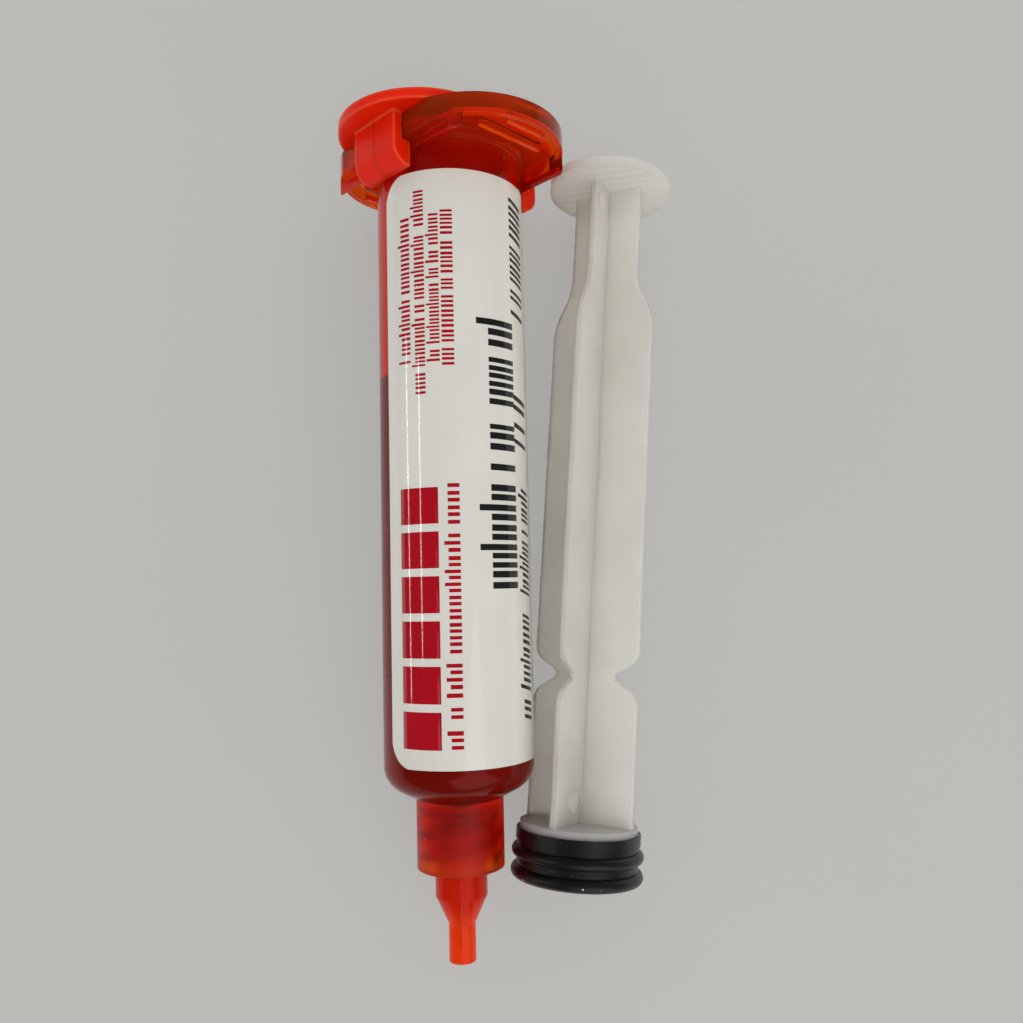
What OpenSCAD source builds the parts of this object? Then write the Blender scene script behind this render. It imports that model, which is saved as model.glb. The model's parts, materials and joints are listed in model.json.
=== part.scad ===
// Ten millilitre flux syringe with its end cap, tip cap and label, and the hand plunger that lies beside it.
// Millimetres, +Z up. The barrel lies along +Y with its flange at the +Y end.
// Barrel, caps, label and flux are drawn about an upright axis whose zero is the end of the Luer collar.
// The plunger is drawn about an upright axis whose zero is the face of its stopper.

/* [Barrel] */
// Outside diameter of the barrel
barrel_d = 18.5; // [17.5:0.1:19.5]
// Wall thickness of the barrel
barrel_wall = 1.3; // [1:0.05:1.6]
// Length from the end of the Luer collar to the mouth
barrel_len = 90.4; // [85:0.2:96]
// Radius of the round corner between the barrel and its shoulder
shoulder_r = 3.2; // [2:0.1:4]
// Slope of the shoulder's flat part, from the barrel's cross-section
shoulder_slope = 28; // [20:1:35]
// Width of the bevel round the mouth
mouth_bevel = 0.4; // [0.2:0.05:0.6]

/* [Luer outlet] */
// Outside diameter of the collar
collar_d = 10.7; // [10.2:0.05:11]
// Length of the collar
collar_len = 8.3; // [7.5:0.1:9]
// Inside diameter of the collar, at the roots of its thread
collar_bore_d = 8.1; // [7.9:0.05:8.4]
// Depth of the collar
collar_depth = 6.6; // [6:0.1:7]
// Diameter of the tapered nozzle at its tip
nozzle_d = 3.9; // [3.8:0.02:4]
// Growth of the nozzle's diameter per millimetre of its length
nozzle_taper = 0.06; // [0.05:0.005:0.07]
// Length of the nozzle beyond the end of the collar
nozzle_proud = 1; // [0.5:0.1:1.5]
// Diameter of the outlet hole
outlet_d = 2.2; // [1.8:0.1:2.6]

/* [Finger flange] */
// Distance from the axis to the end of a wing
wing_reach = 16.1; // [15:0.1:18]
// Radius of the rounded end of a wing, beyond the half-width between the flats
wing_round = 0.7; // [0.4:0.1:1.2]
// Land left between the barrel and a flat
flat_land = 1.35; // [1.2:0.05:1.8]
// Depth of the flange at the blocks along its flats
flange_depth = 4; // [3.6:0.1:4.6]
// Depth of the flange at the wings' ends
wing_depth = 2.4; // [2.2:0.1:3]
// Depth of the ledge along each flat
ledge_depth = 3; // [2.6:0.1:3.2]
// Thickness of the plate above the finger pockets
web_t = 1.5; // [1.2:0.1:1.8]
// Thickness of the rim round a finger pocket
rim_t = 0.9; // [0.8:0.1:1.2]
// Half-width of a finger pocket, between the blocks along the flats
pocket_half = 8.4; // [7.5:0.1:8.8]
// Wall left between a finger pocket and the barrel
pocket_root = 0.6; // [0.4:0.1:0.9]
// Width of a grip rib
grip_rib_w = 0.8; // [0.6:0.1:1]
// Distance from the wing's end to the outer grip rib
grip_rib_inset = 1.9; // [1.7:0.1:2.2]
// Distance between the two grip ribs
grip_rib_pitch = 2.7; // [2.4:0.1:3]
// Length of the inner grip rib
grip_rib_len = 10.2; // [8:0.2:12]
// Length by which the outer grip rib is shorter
grip_rib_step = 3.8; // [3.6:0.1:5]

/* [Label] */
// Gap between the barrel's shoulder and the label
label_foot = 0.7; // [0.3:0.1:1]
// Gap between the label and the underside of the flange
label_head = 2.5; // [2:0.1:4]
// Thickness of the label
label_t = 0.1; // [0.08:0.01:0.16]
// Angle that the label wraps round the barrel
label_wrap = 266; // [256:2:280]
// Angle from the horizontal to the label's upper edge, as the barrel lies
label_edge = 143; // [140:1:156]
// Corner radius of the label
label_corner = 3.6; // [2:0.1:5]

/* [End cap] */
// Thickness of the cap's plate
cap_t = 1.2; // [1:0.1:1.6]
// Overhang of the plate past the outside of a hook
cap_lip = 3; // [2.4:0.1:3.6]
// Radius of the plate's rounded ends, beyond the barrel's radius
cap_round = 1.3; // [0.8:0.1:2]
// Width of a hook
hook_w = 8; // [6:0.2:9]
// Thickness of a hook's wall
hook_wall = 1.2; // [1:0.1:1.5]
// Depth of the hook's tab below the flange
hook_tab = 3.1; // [2.4:0.1:3.6]
// Radius of the hook's outer heel
hook_heel = 2.2; // [1.2:0.1:2.3]
// Clearance between the cap and the flange
cap_fit = 0.12; // [0.08:0.02:0.16]
// Clearance between the end of a tab and the barrel
tab_fit = 0.25; // [0.2:0.05:0.4]

/* [Tip cap] */
// Diameter of the tip cap's socket body
tip_d = 6.35; // [5.8:0.05:6.6]
// Reach of the socket body into the collar
tip_reach = 4.8; // [4:0.1:5.4]
// Length of the socket body outside the collar
tip_skirt = 3.5; // [2.6:0.1:4]
// Length of the cone between the socket body and the tail
tip_cone = 3.3; // [2.4:0.1:3.6]
// Length of the tail
tip_tail = 4.4; // [4:0.1:6]
// Diameter of the tail
tail_d = 3.3; // [2.8:0.05:3.5]
// Depth of the solid floor below the nozzle's tip
tip_floor = 0.6; // [0.4:0.1:1]
// Clearance between the nozzle and the socket
tip_fit = 0.05; // [0.03:0.01:0.08]
// Thickness of a grip fin
tip_fin_t = 0.85; // [0.7:0.05:1]
// Length of the tail left bare below the grip fins
tip_fin_gap = 2; // [1.5:0.1:2.5]
// Angle of the grip fins from the horizontal, as the barrel lies
tip_fin_roll = 80; // [70:1:90]
// Height of a locking lug
lug_h = 0.9; // [0.7:0.1:1.1]
// Angle that a locking lug covers
lug_angle = 50; // [40:2:60]
// Clearance between a locking lug and the collar
lug_fit = 0.2; // [0.15:0.05:0.3]

/* [Flux] */
// Height of the flux above the foot of the label
fill_len = 50; // [30:1:60]
// Gap between the flux and the wall
fill_gap = 0.05; // [0.04:0.01:0.08]

/* [Plunger] */
// Length of the rod beyond the length of the bore
rod_reserve = 11.8; // [9:0.1:13]
// Diameter of the thumb rest
thumb_d = 16.2; // [15:0.1:18]
// Thickness of the thumb rest
thumb_t = 1.3; // [1.1:0.1:1.8]
// Width of the rim round the thumb rest's ribs
thumb_rim = 0.8; // [0.6:0.1:1.2]
// Height of the rim and of the ribs on the thumb rest
thumb_rib_h = 0.3; // [0.2:0.05:0.4]
// Width of a rib on the thumb rest
thumb_rib_w = 0.5; // [0.4:0.05:0.7]
// Distance between the ribs on the thumb rest
thumb_rib_pitch = 1.6; // [1.3:0.1:1.8]
// Angle between the ribs on the thumb rest and a fin
thumb_rib_turn = 11; // [0:1:30]
// Clearance between the edges of the fins and the bore
fin_fit = 0.85; // [0.6:0.05:1.2]
// Thickness of a fin
fin_t = 0.9; // [0.8:0.05:1.2]
// Distance from the axis to the edge of a fin at the waist
waist_r = 4.7; // [4:0.1:5.2]
// Length of the waist below the thumb rest
waist_len = 11.9; // [9:0.1:14]
// Length of the sweep between the waist and the full width
sweep_len = 8.5; // [7:0.1:10]
// Distance from the base disc to the notch
notch_rise = 17.9; // [14:0.1:22]
// Distance from the axis to the bottom of the notch
notch_r = 4; // [3.5:0.1:4.5]
// Radius of the notch's bottom
notch_round = 0.7; // [0.5:0.1:1]
// Radius of the corners above and below the notch
notch_corner = 2.2; // [1.8:0.1:2.6]
// Angle of the notch's sides from the rod's cross-section
notch_side = 30; // [20:1:40]
// Diameter of an ejector boss
boss_d = 2.6; // [2:0.1:3]
// Distance that an ejector boss stands out of the fin
boss_proud = 0.35; // [0.2:0.05:0.5]
// Distance from the axis to an ejector boss
boss_r = 3; // [2.6:0.1:3.2]
// Distance from a disc to the nearest ejector boss
boss_inset = 2.8; // [2:0.1:4]
// Clearance between the base disc and the bore
base_fit = 0.7; // [0.4:0.05:0.9]
// Thickness of the base disc
base_t = 0.8; // [0.7:0.1:1.2]

/* [Stopper] */
// Length of the stopper
stopper_len = 5.8; // [5.6:0.1:6.6]
// Squeeze of the stopper's ribs in the bore
stopper_squeeze = 0.15; // [0.1:0.05:0.3]
// Radius of the lowest rib's round edge, which runs into the face
seal_foot = 0.8; // [0.7:0.05:0.9]
// Radius of the middle rib's round edge
seal_round = 0.75; // [0.6:0.05:0.85]
// Distance between the middle and the lowest rib
seal_pitch = 2.35; // [2.2:0.05:2.5]
// Depth of the grooves beside the ribs
seal_groove = 0.65; // [0.5:0.05:0.8]
// Length of the land under the base disc
land_len = 1.3; // [1:0.05:1.5]
// Clearance between the land and the bore
land_fit = 0.3; // [0.2:0.05:0.4]
// Diameter of the knob that holds the stopper
knob_d = 8.4; // [7:0.1:9]
// Thickness of the knob
knob_t = 1.3; // [1:0.1:1.6]
// Diameter of the neck between the knob and the base disc
neck_d = 5; // [4:0.1:6]
// Length of the neck
neck_len = 1.5; // [1.2:0.1:1.8]
// Clearance between the knob and the stopper
knob_fit = 0.05; // [0.03:0.01:0.08]

/* [Pose] */
// Angle of the wings from the horizontal, as the barrel lies
wing_roll = 46; // [40:1:50]
// Gap between the plunger's nearest fin and the edge of the barrel's shoulder
plunger_gap = 0.6; // [0.5:0.05:0.9]
// Distance of the stopper's face beyond the end of the collar
plunger_drop = 2; // [0:0.1:3]
// Angle between the barrel and the plunger, seen from above
plunger_yaw = 4.85; // [3:0.05:6]
// Angle of the fins from the horizontal, as the plunger lies
plunger_roll = 30; // [20:1:40]

/* [Hidden] */

$fn = 96;
// Steps along a rounded corner of an outline
ARC_STEPS = 12;
// Overrun of a cut past the face that it opens
CUT = 1;
// Depth that a shape reaches into the one it is joined to
JOIN = 0.3;
// Extra radius of a corner's arc, so that it crosses the edges and doesn't only touch them
ARC_CROSS = 0.1;

AMBER = [0.45, 0.06, 0.03, 0.75];
ORANGE = [0.87, 0.15, 0.06];
PAPER = [0.93, 0.92, 0.90];
FLUX_BROWN = [0.30, 0.16, 0.10];
NATURAL = [0.90, 0.89, 0.84, 0.85];
BLACK_RUBBER = [0.07, 0.08, 0.08];

barrel_r = barrel_d / 2;
bore_r = barrel_r - barrel_wall;
collar_r = collar_d / 2;

// Corner arc of the shoulder, from the barrel's side to the sloping part
shoulder_turn = 90 - shoulder_slope;
shoulder_in = barrel_r - shoulder_r;
shoulder_edge_r = shoulder_in + shoulder_r * cos(shoulder_turn);
slope_rise = (shoulder_edge_r - collar_r) * tan(shoulder_slope);
shoulder_z = collar_len + slope_rise + shoulder_r * sin(shoulder_turn);

// Inside of the shoulder, one wall inwards
floor_r = shoulder_r - barrel_wall;
floor_z = shoulder_z - floor_r * sin(shoulder_turn)
    - (shoulder_in + floor_r * cos(shoulder_turn)) * tan(shoulder_slope);
bore_len = barrel_len - shoulder_z;

flat_half = barrel_r + flat_land;
wing_r = flat_half + wing_round;
wing_mid = wing_reach - wing_r;
wing_corner = wing_mid + sqrt(wing_r * wing_r - flat_half * flat_half);
flange_z = barrel_len - flange_depth;
wing_z = barrel_len - wing_depth;
ledge_z = barrel_len - ledge_depth;

label_z = shoulder_z + label_foot;
label_len = flange_z - label_head - label_z;

hook_in = flat_half + cap_fit;
hook_out = hook_in + hook_wall;
tab_in = barrel_r + tab_fit;
tab_top = ledge_z - cap_fit;
tab_z = tab_top - hook_tab;
cap_z = barrel_len + cap_fit;
cap_reach = hook_out + cap_lip;
cap_r = barrel_r + cap_round;
cap_mid = cap_reach - cap_r;

tip_r = tip_d / 2;
tail_r = tail_d / 2;
tip_end = -tip_skirt - tip_cone - tip_tail;

rib_r = bore_r + stopper_squeeze;
groove_r = rib_r - seal_groove;
base_z = stopper_len;
fin_z = base_z + base_t;
rod_len = bore_len + rod_reserve;
plunger_len = rod_len + thumb_t;
fin_r = bore_r - fin_fit;
thumb_r = thumb_d / 2;

// Reach of the flange and of the cap's plate in a direction between the wings (0) and the flats (90)
function flange_reach(a) =
    wing_r * sin(a) <= flat_half
        ? wing_mid * cos(a) + wing_r
        : wing_corner * cos(a) + flat_half * sin(a);
function cap_reach_at(a) = cap_mid * sin(a) + cap_r;

// The barrel rests on the foot of its label and on the flange or the cap, whichever holds it higher
foot_r = barrel_r + label_t;
flange_drop = flange_reach(90 - wing_roll);
cap_drop = cap_reach_at(90 - wing_roll);
lay_tilt = max(
    atan((flange_drop - foot_r) / (flange_z - label_z)),
    atan((cap_drop - foot_r) / (cap_z - label_z))
);
lay_z = foot_r * cos(lay_tilt) - label_z * sin(lay_tilt);

// The plunger rests on its thumb rest and on its lowest rib
plunger_tilt = asin((thumb_r - rib_r) / (plunger_len - seal_foot));
plunger_z = rib_r - seal_foot * sin(plunger_tilt);

// The plunger lies with the corner of its nearest fin one gap from the edge of the barrel's shoulder
edge_side = fin_r * cos(plunger_roll) + fin_t / 2 * sin(plunger_roll);
edge_z = plunger_z - fin_r * sin(plunger_roll) + fin_t / 2 * cos(plunger_roll);
edge_drop = lay_z + shoulder_z * sin(lay_tilt) - edge_z;
edge_run = shoulder_z * cos(lay_tilt) + plunger_drop;
plunger_side = sqrt((barrel_r + plunger_gap) ^ 2 - edge_drop ^ 2) + edge_side - edge_run * tan(plunger_yaw);

// The whole set is centred on the origin
cap_top = cap_z + cap_t;
left_reach = max(flange_reach(wing_roll), cap_reach_at(wing_roll));
right_reach = plunger_side + plunger_len * cos(plunger_tilt) * sin(plunger_yaw) + thumb_r * cos(plunger_yaw);
lay_x = (left_reach - right_reach) / 2;
back_reach = cap_top * cos(lay_tilt) + cap_drop * sin(lay_tilt);
front_reach = tip_end * cos(lay_tilt) - tail_r * sin(lay_tilt);
lay_y = -(back_reach + front_reach) / 2;

// Points of an arc, with its two ends
function arc(centre, r, from, to) = [
    for (i = [0:ARC_STEPS]) let (a = from + (to - from) * i / ARC_STEPS)
        centre + r * [cos(a), sin(a)]
];

// Laying down

module lay_syringe() {
    translate([lay_x, lay_y, lay_z])
        rotate([lay_tilt - 90, 0, 0])
            rotate([0, 0, -wing_roll])
                children();
}

module lay_plunger() {
    translate([lay_x + plunger_side, lay_y - plunger_drop, plunger_z])
        rotate([0, 0, -plunger_yaw])
            rotate([plunger_tilt - 90, 0, 0])
                rotate([0, 0, -plunger_roll])
                    children();
}

// Barrel

module barrel_outside() {
    rotate_extrude()
        polygon(concat(
            [[0, 0], [collar_r, 0], [collar_r, collar_len]],
            arc([shoulder_in, shoulder_z], shoulder_r, -shoulder_turn, 0),
            [[barrel_r, barrel_len], [0, barrel_len]]
        ));
}

module barrel_inside() {
    rotate_extrude()
        polygon(concat(
            [[0, floor_z]],
            arc([shoulder_in, shoulder_z], floor_r, -shoulder_turn, 0),
            [
                [bore_r, barrel_len - mouth_bevel],
                [bore_r + mouth_bevel, barrel_len],
                [bore_r + mouth_bevel, barrel_len + CUT],
                [0, barrel_len + CUT]
            ]
        ));
}

module nozzle() {
    nozzle_len = collar_depth + nozzle_proud + JOIN;
    translate([0, 0, -nozzle_proud])
        cylinder(h = nozzle_len, d1 = nozzle_d, d2 = nozzle_d + nozzle_taper * nozzle_len);
}

module flange_outline(inset = 0) {
    intersection() {
        union() {
            for (side = [-1, 1])
                translate([side * wing_mid, 0])
                    circle(r = wing_r - inset);
            square([2 * wing_mid, 2 * (wing_r - inset)], center = true);
        }
        square([2 * wing_reach, 2 * flat_half], center = true);
    }
}

module finger_pocket() {
    translate([0, 0, wing_z - CUT])
        linear_extrude(wing_depth - web_t + CUT)
            difference() {
                intersection() {
                    flange_outline(rim_t);
                    translate([0, -pocket_half])
                        square([wing_reach, 2 * pocket_half]);
                }
                circle(r = barrel_r + pocket_root);
            }
}

// Opening below a wing, between the two blocks along the flats; the barrel fills its root again
module wing_relief() {
    translate([0, -pocket_half, flange_z - CUT])
        cube([wing_reach + CUT, 2 * pocket_half, wing_z - flange_z + CUT]);
}

module grip_rib(len) {
    straight = len - grip_rib_w;
    translate([0, 0, wing_z - CUT])
        linear_extrude(wing_depth - web_t + CUT + JOIN)
            union() {
                square([grip_rib_w, straight], center = true);
                for (end = [-1, 1])
                    translate([0, end * straight / 2])
                        circle(d = grip_rib_w);
            }
}

module grip_ribs() {
    for (i = [0, 1])
        translate([wing_reach - grip_rib_inset - i * grip_rib_pitch, 0])
            grip_rib(grip_rib_len - (1 - i) * grip_rib_step);
}

module flange() {
    difference() {
        translate([0, 0, flange_z])
            linear_extrude(flange_depth)
                flange_outline();
        for (turn = [0, 180])
            rotate([0, 0, turn]) {
                difference() {
                    finger_pocket();
                    grip_ribs();
                }
                wing_relief();
                translate([-wing_reach, barrel_r, flange_z - CUT])
                    cube([2 * wing_reach, flat_land + CUT, flange_depth - ledge_depth + CUT]);
            }
    }
}

module barrel() {
    color(AMBER)
        lay_syringe()
            difference() {
                union() {
                    difference() {
                        union() {
                            barrel_outside();
                            flange();
                        }
                        translate([0, 0, -CUT])
                            cylinder(h = collar_depth + CUT, d = collar_bore_d);
                    }
                    nozzle();
                }
                barrel_inside();
                translate([0, 0, -nozzle_proud - CUT])
                    cylinder(h = floor_z + nozzle_proud + 2 * CUT, d = outlet_d);
            }
}

// Label

module label_corner_cut() {
    difference() {
        translate([-CUT, -CUT])
            square(label_corner + CUT);
        translate([label_corner, label_corner])
            circle(r = label_corner + ARC_CROSS);
    }
}

module label_corner_cuts(from) {
    for (edge = [0, 1], end = [0, 1])
        rotate([0, 0, from + edge * label_wrap])
            translate([0, 0, label_z + end * label_len])
                mirror([0, edge, 0])
                    mirror([0, 0, end])
                        rotate([90, 0, 90])
                            translate([0, 0, bore_r])
                                linear_extrude(barrel_wall + CUT)
                                    label_corner_cut();
}

module label() {
    from = wing_roll - label_edge;
    color(PAPER)
        lay_syringe()
            difference() {
                rotate([0, 0, from])
                    rotate_extrude(angle = label_wrap)
                        translate([barrel_r, label_z])
                            square([label_t, label_len]);
                label_corner_cuts(from);
            }
}

// End cap

module hook_profile() {
    difference() {
        union() {
            translate([hook_in, tab_z])
                square([hook_wall, cap_z - tab_z]);
            translate([tab_in, tab_z])
                square([hook_out - tab_in, hook_tab]);
        }
        translate([hook_out - hook_heel, tab_z])
            difference() {
                translate([0, -CUT])
                    square([hook_heel + CUT, hook_heel + CUT]);
                translate([0, hook_heel])
                    circle(r = hook_heel);
            }
    }
}

module hook() {
    rotate([90, 0, 90])
        translate([0, 0, -hook_w / 2])
            linear_extrude(hook_w)
                hook_profile();
}

module cap_plate() {
    translate([0, 0, cap_z])
        linear_extrude(cap_t)
            union() {
                for (side = [-1, 1])
                    translate([0, side * cap_mid])
                        circle(r = cap_r);
                square([2 * cap_r, 2 * cap_mid], center = true);
            }
}

module end_cap() {
    color(ORANGE)
        lay_syringe() {
            cap_plate();
            for (turn = [0, 180])
                rotate([0, 0, turn])
                    hook();
        }
}

// Tip cap

module tip_cap() {
    socket_end = -nozzle_proud - tip_floor;
    socket_len = tip_reach - socket_end;
    socket_d = nozzle_d + 2 * tip_fit - nozzle_taper * tip_floor;
    color(ORANGE)
        lay_syringe()
            difference() {
                union() {
                    rotate_extrude()
                        polygon([
                            [0, tip_end], [tail_r, tip_end], [tail_r, tip_end + tip_tail],
                            [tip_r, -tip_skirt], [tip_r, tip_reach], [0, tip_reach]
                        ]);
                    tip_fins();
                    tip_lugs();
                }
                translate([0, 0, socket_end])
                    cylinder(h = socket_len + CUT, d1 = socket_d, d2 = socket_d + nozzle_taper * (socket_len + CUT));
            }
}

module tip_fins() {
    fin_len = -tip_end - tip_fin_gap;
    rotate([0, 0, wing_roll - tip_fin_roll])
        translate([-tip_r, -tip_fin_t / 2, -fin_len])
            cube([2 * tip_r, tip_fin_t, fin_len]);
}

module tip_lugs() {
    lug_r = collar_bore_d / 2 - lug_fit;
    for (turn = [0, 180])
        rotate([0, 0, turn - lug_angle / 2])
            rotate_extrude(angle = lug_angle)
                translate([tip_r - JOIN, tip_reach - lug_h])
                    square([lug_r - tip_r + JOIN, lug_h]);
}

// Flux

module flux_charge() {
    fill_r = bore_r - fill_gap;
    color(FLUX_BROWN)
        lay_syringe()
            rotate_extrude()
                polygon(concat(
                    [[0, floor_z + fill_gap]],
                    arc([shoulder_in, shoulder_z], floor_r - fill_gap, -shoulder_turn, 0),
                    [[fill_r, label_z + fill_len], [0, label_z + fill_len]]
                ));
}

// Plunger

// Points of a fin's edge, each its distance from the axis and its distance along it
function notch_arcs() =
    let (
        turn = 90 - notch_side,
        corner_in = fin_r - notch_corner,
        notch_in = notch_r + notch_round,
        notch_z = fin_z + notch_rise,
        drop = (notch_corner + notch_round - (notch_in - corner_in) * cos(turn)) / sin(turn)
    )
    concat(
        arc([corner_in, notch_z - drop], notch_corner, 0, turn),
        arc([notch_in, notch_z], notch_round, 180 + turn, 180 - turn),
        arc([corner_in, notch_z + drop], notch_corner, -turn, 0)
    );

function sweep_arcs() =
    let (
        step = fin_r - waist_r,
        r = (step * step + sweep_len * sweep_len) / (4 * step),
        turn = 2 * atan(step / sweep_len),
        waist_z = rod_len - waist_len
    )
    concat(
        arc([fin_r - r, waist_z - sweep_len], r, 0, turn),
        arc([waist_r + r, waist_z], r, 180 + turn, 180)
    );

module fin() {
    rotate([90, 0, 0])
        translate([0, 0, -fin_t / 2])
            linear_extrude(fin_t)
                polygon(concat(
                    [[0, fin_z - JOIN], [fin_r, fin_z - JOIN]],
                    notch_arcs(),
                    sweep_arcs(),
                    [[waist_r, rod_len + JOIN], [0, rod_len + JOIN]]
                ));
}

module ejector_boss(z) {
    translate([boss_r, 0, z])
        rotate([90, 0, 0])
            cylinder(h = fin_t + 2 * boss_proud, d = boss_d, center = true);
}

module thumb_rest() {
    field_r = thumb_r - thumb_rim;
    rows = floor(field_r / thumb_rib_pitch);
    difference() {
        translate([0, 0, rod_len])
            cylinder(h = thumb_t, r = thumb_r);
        translate([0, 0, plunger_len - thumb_rib_h])
            linear_extrude(thumb_rib_h + CUT)
                difference() {
                    circle(r = field_r);
                    rotate(thumb_rib_turn)
                        for (i = [-rows:rows])
                            translate([0, i * thumb_rib_pitch])
                                square([2 * thumb_r, thumb_rib_w], center = true);
                }
    }
}

module stopper_seat(grow = 0) {
    translate([0, 0, base_z - neck_len - knob_t - grow])
        cylinder(h = knob_t + 2 * grow, d = knob_d + 2 * grow);
    translate([0, 0, base_z - neck_len - JOIN])
        cylinder(h = neck_len + 2 * JOIN, d = neck_d + 2 * grow);
}

module plunger_rod() {
    color(NATURAL)
        lay_plunger() {
            for (turn = [0:90:270])
                rotate([0, 0, turn])
                    fin();
            for (turn = [-90, 90]) {
                rotate([0, 0, turn])
                    ejector_boss(fin_z + boss_inset);
                rotate([0, 0, turn])
                    ejector_boss(rod_len - boss_inset);
            }
            thumb_rest();
            translate([0, 0, base_z])
                cylinder(h = base_t, r = bore_r - base_fit);
            stopper_seat();
        }
}

// Stopper

module stopper_profile() {
    square([rib_r - seal_foot, stopper_len]);
    translate([0, seal_foot])
        square([groove_r, stopper_len - seal_foot]);
    translate([rib_r - seal_foot, seal_foot])
        circle(r = seal_foot);
    translate([rib_r - seal_round, seal_foot + seal_pitch])
        circle(r = seal_round);
    translate([0, stopper_len - land_len])
        square([bore_r - land_fit, land_len]);
}

module stopper() {
    color(BLACK_RUBBER)
        lay_plunger()
            difference() {
                rotate_extrude()
                    stopper_profile();
                stopper_seat(knob_fit);
            }
}

barrel();
label();
end_cap();
tip_cap();
flux_charge();
plunger_rod();
stopper();
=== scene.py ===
"""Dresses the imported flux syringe: plastics, rubber, flux, print, Luer thread, light and camera."""

from __future__ import annotations

import json
import logging
import math
from abc import ABC, abstractmethod
from dataclasses import dataclass, field
from enum import Enum

import bmesh
import bpy
import numpy as np
from mathutils import Matrix, Vector

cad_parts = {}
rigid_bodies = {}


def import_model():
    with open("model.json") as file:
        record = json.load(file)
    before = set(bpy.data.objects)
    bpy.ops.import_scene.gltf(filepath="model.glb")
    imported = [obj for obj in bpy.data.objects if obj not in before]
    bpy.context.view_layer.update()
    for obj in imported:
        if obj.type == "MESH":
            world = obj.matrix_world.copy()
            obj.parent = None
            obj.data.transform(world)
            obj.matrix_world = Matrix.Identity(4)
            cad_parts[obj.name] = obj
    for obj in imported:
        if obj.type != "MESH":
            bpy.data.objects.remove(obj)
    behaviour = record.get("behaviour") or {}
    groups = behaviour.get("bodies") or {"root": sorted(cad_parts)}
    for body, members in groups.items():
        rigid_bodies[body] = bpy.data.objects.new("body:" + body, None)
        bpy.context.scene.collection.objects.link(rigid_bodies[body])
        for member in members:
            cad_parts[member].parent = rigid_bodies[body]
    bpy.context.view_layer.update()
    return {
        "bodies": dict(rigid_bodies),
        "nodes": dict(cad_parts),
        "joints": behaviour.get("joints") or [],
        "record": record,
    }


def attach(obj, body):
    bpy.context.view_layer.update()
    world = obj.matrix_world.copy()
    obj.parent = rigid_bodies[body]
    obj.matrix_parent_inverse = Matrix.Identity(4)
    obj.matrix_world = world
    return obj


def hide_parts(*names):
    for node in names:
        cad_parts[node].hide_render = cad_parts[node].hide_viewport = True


LOG = logging.getLogger("flux_syringe")
MM = 0.001
PHOTO_WIDTH = 1023.0  # pixels
SENSOR_WIDTH = 36.0  # millimetres

Colour = tuple[float, float, float, float]
Socket = bpy.types.NodeSocket
Outputs = bpy.types.NodeOutputs


# Frames and surfaces


@dataclass(frozen=True)
class LyingLine:
    """An axis that lies over the table, with a right and an up direction across it, in millimetres.

    Attributes:
        origin: The point where the distance along the axis is zero.
        along: Unit direction of the axis.
    """

    origin: np.ndarray
    along: np.ndarray

    @property
    def side(self) -> np.ndarray:
        """The level direction to the right of the axis."""
        flat = np.cross(self.along, (0.0, 0.0, 1.0))
        return flat / np.linalg.norm(flat)

    @property
    def up(self) -> np.ndarray:
        """The direction square to the axis that points away from the table."""
        return np.cross(self.side, self.along)

    def placed(self, right: np.ndarray, above: np.ndarray, distance: np.ndarray) -> np.ndarray:
        """World points in metres: origin + distance * along + right * side + above * up.

        Args:
            right: Distances to the right of the axis.
            above: Distances above the axis.
            distance: Distances along the axis.

        Returns:
            An array with one more dimension, for X, Y and Z.
        """
        right, above, distance = np.broadcast_arrays(right, above, distance)
        across = right[..., None] * self.side + above[..., None] * self.up
        return (self.origin + distance[..., None] * self.along + across) * MM

    def points(self, radius: np.ndarray, angle: np.ndarray, distance: np.ndarray) -> np.ndarray:
        """World points in metres, with radius * cos(angle) to the right and radius * sin(angle) above.

        Args:
            radius: Distances from the axis.
            angle: Angles round the axis from the level direction, in radians.
            distance: Distances along the axis.

        Returns:
            An array with one more dimension, for X, Y and Z.
        """
        return self.placed(radius * np.cos(angle), radius * np.sin(angle), distance)

    def euler(self) -> tuple[float, float, float]:
        """Turn that takes X, Y and Z to the side, the downward and the along direction."""
        basis = Matrix((self.side, -self.up, self.along)).transposed()
        return tuple(basis.to_euler("XYZ"))


def quads(rows: int, columns: int, closed: bool = False) -> np.ndarray:
    """Corner numbers of the quads of a grid of points.

    Args:
        rows: Number of rows of points.
        columns: Number of points in a row.
        closed: Whether each row closes on itself.

    Returns:
        An array of shape (faces, 4).
    """
    index = np.arange(rows * columns).reshape(rows, columns)
    if closed:
        index = np.hstack([index, index[:, :1]])
    corners = [index[:-1, :-1], index[:-1, 1:], index[1:, 1:], index[1:, :-1]]
    return np.stack(corners, axis=-1).reshape(-1, 4)


def solid_from(name: str, points: np.ndarray, faces: list[np.ndarray]) -> bpy.types.Object:
    """Puts worked-out points and faces into one mesh object at the origin, with its faces outwards.

    Args:
        name: Name of the piece.
        points: World points in metres, of shape (points, 3).
        faces: Arrays of corner numbers, each of shape (faces, corners).

    Returns:
        The linked object.
    """
    mesh = bpy.data.meshes.new(name)
    mesh.from_pydata(points, [], [corners for group in faces for corners in group.tolist()])
    work = bmesh.new()
    work.from_mesh(mesh)
    bmesh.ops.recalc_face_normals(work, faces=work.faces)
    work.to_mesh(mesh)
    work.free()
    mesh.polygons.foreach_set("use_smooth", np.ones(len(mesh.polygons), bool))
    piece = bpy.data.objects.new(name, mesh)
    bpy.context.scene.collection.objects.link(piece)
    return piece


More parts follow.
